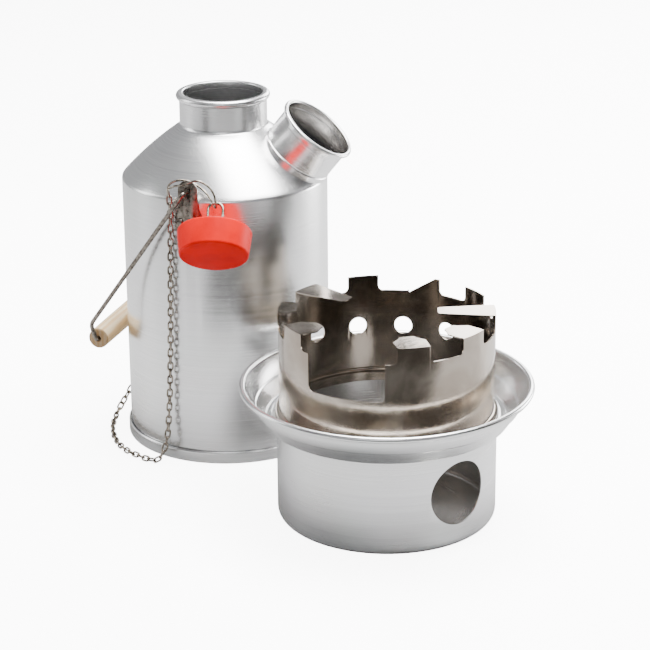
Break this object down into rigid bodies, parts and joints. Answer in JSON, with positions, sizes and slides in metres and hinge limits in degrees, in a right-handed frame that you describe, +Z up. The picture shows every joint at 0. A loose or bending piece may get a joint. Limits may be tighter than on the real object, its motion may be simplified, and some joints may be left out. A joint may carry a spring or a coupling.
{
  "type": "chimney kettle with fire base and stove ring",
  "caption": "Chimney water kettle with bail, spout and chained stopper, beside its flared fire base with a slotted stove ring that burns sticks.",
  "frame": {"origin": "centre of the fire base's underside, on the ground", "axes": "+Z up; -Y towards the front, where the feed window and air hole are; the kettle stands behind and to the left"},
  "size_m": [0.2907, 0.3125, 0.2382],
  "materials": {
    "spun_aluminium": "spun, satin with fine turning lines",
    "flue_aluminium": "spun, dull",
    "stainless_sheet": "polished sheet, fine grain",
    "plated_steel": "zinc plated, dull",
    "nickel_plate": "bright nickel plate",
    "turned_beech": "turned, oiled",
    "orange_silicone": "moulded, soft sheen"
  },
  "bodies": {
    "fire_base": {"fire_base": "spun_aluminium"},
    "stove_ring": {"stove_ring": "stainless_sheet"},
    "kettle": {"kettle_shell": "spun_aluminium", "chimney_tube": "flue_aluminium", "foot_ring": "spun_aluminium", "neck_bead": "spun_aluminium", "filler_spout": "spun_aluminium", "bail_bracket_front": "plated_steel", "bail_bracket_rear": "plated_steel", "bracket_rivet_front_1": "plated_steel", "bracket_rivet_front_2": "plated_steel", "bracket_rivet_rear_1": "plated_steel", "bracket_rivet_rear_2": "plated_steel", "lug_rivet": "plated_steel", "stopper_ring": "nickel_plate", "stopper_chain": "nickel_plate", "chain_lug": "plated_steel"},
    "bail": {"bail_wire": "plated_steel"},
    "grip": {"bail_grip": "turned_beech"},
    "stopper": {"stopper": "orange_silicone", "stopper_staple": "nickel_plate"}
  },
  "joints": [
    {"name": "kettle_lift", "type": "slide", "parent": "fire_base", "child": "kettle", "axis": [0, 0, 1], "range_m": [0, 0.12]},
    {"name": "stove_ring_lift", "type": "slide", "parent": "fire_base", "child": "stove_ring", "axis": [0, 0, 1], "range_m": [0, 0.08]},
    {"name": "bail_swing", "type": "hinge", "parent": "kettle", "child": "bail", "pos_m": [-0.1043, 0.1431, 0.1896], "axis": [0.3007, 0.9537, 0], "range_deg": [0, 220]},
    {"name": "grip_spin", "type": "hinge", "parent": "bail", "child": "grip", "pos_m": [-0.17736, 0.16613, 0.0726], "axis": [0.3007, 0.9537, 0], "continuous": true},
    {"name": "stopper_swing", "type": "hinge", "parent": "kettle", "child": "stopper", "pos_m": [-0.10716, 0.06858, 0.18159], "axis": [-0.9993, 0.0384, 0], "range_deg": [0, 25]}
  ]
}
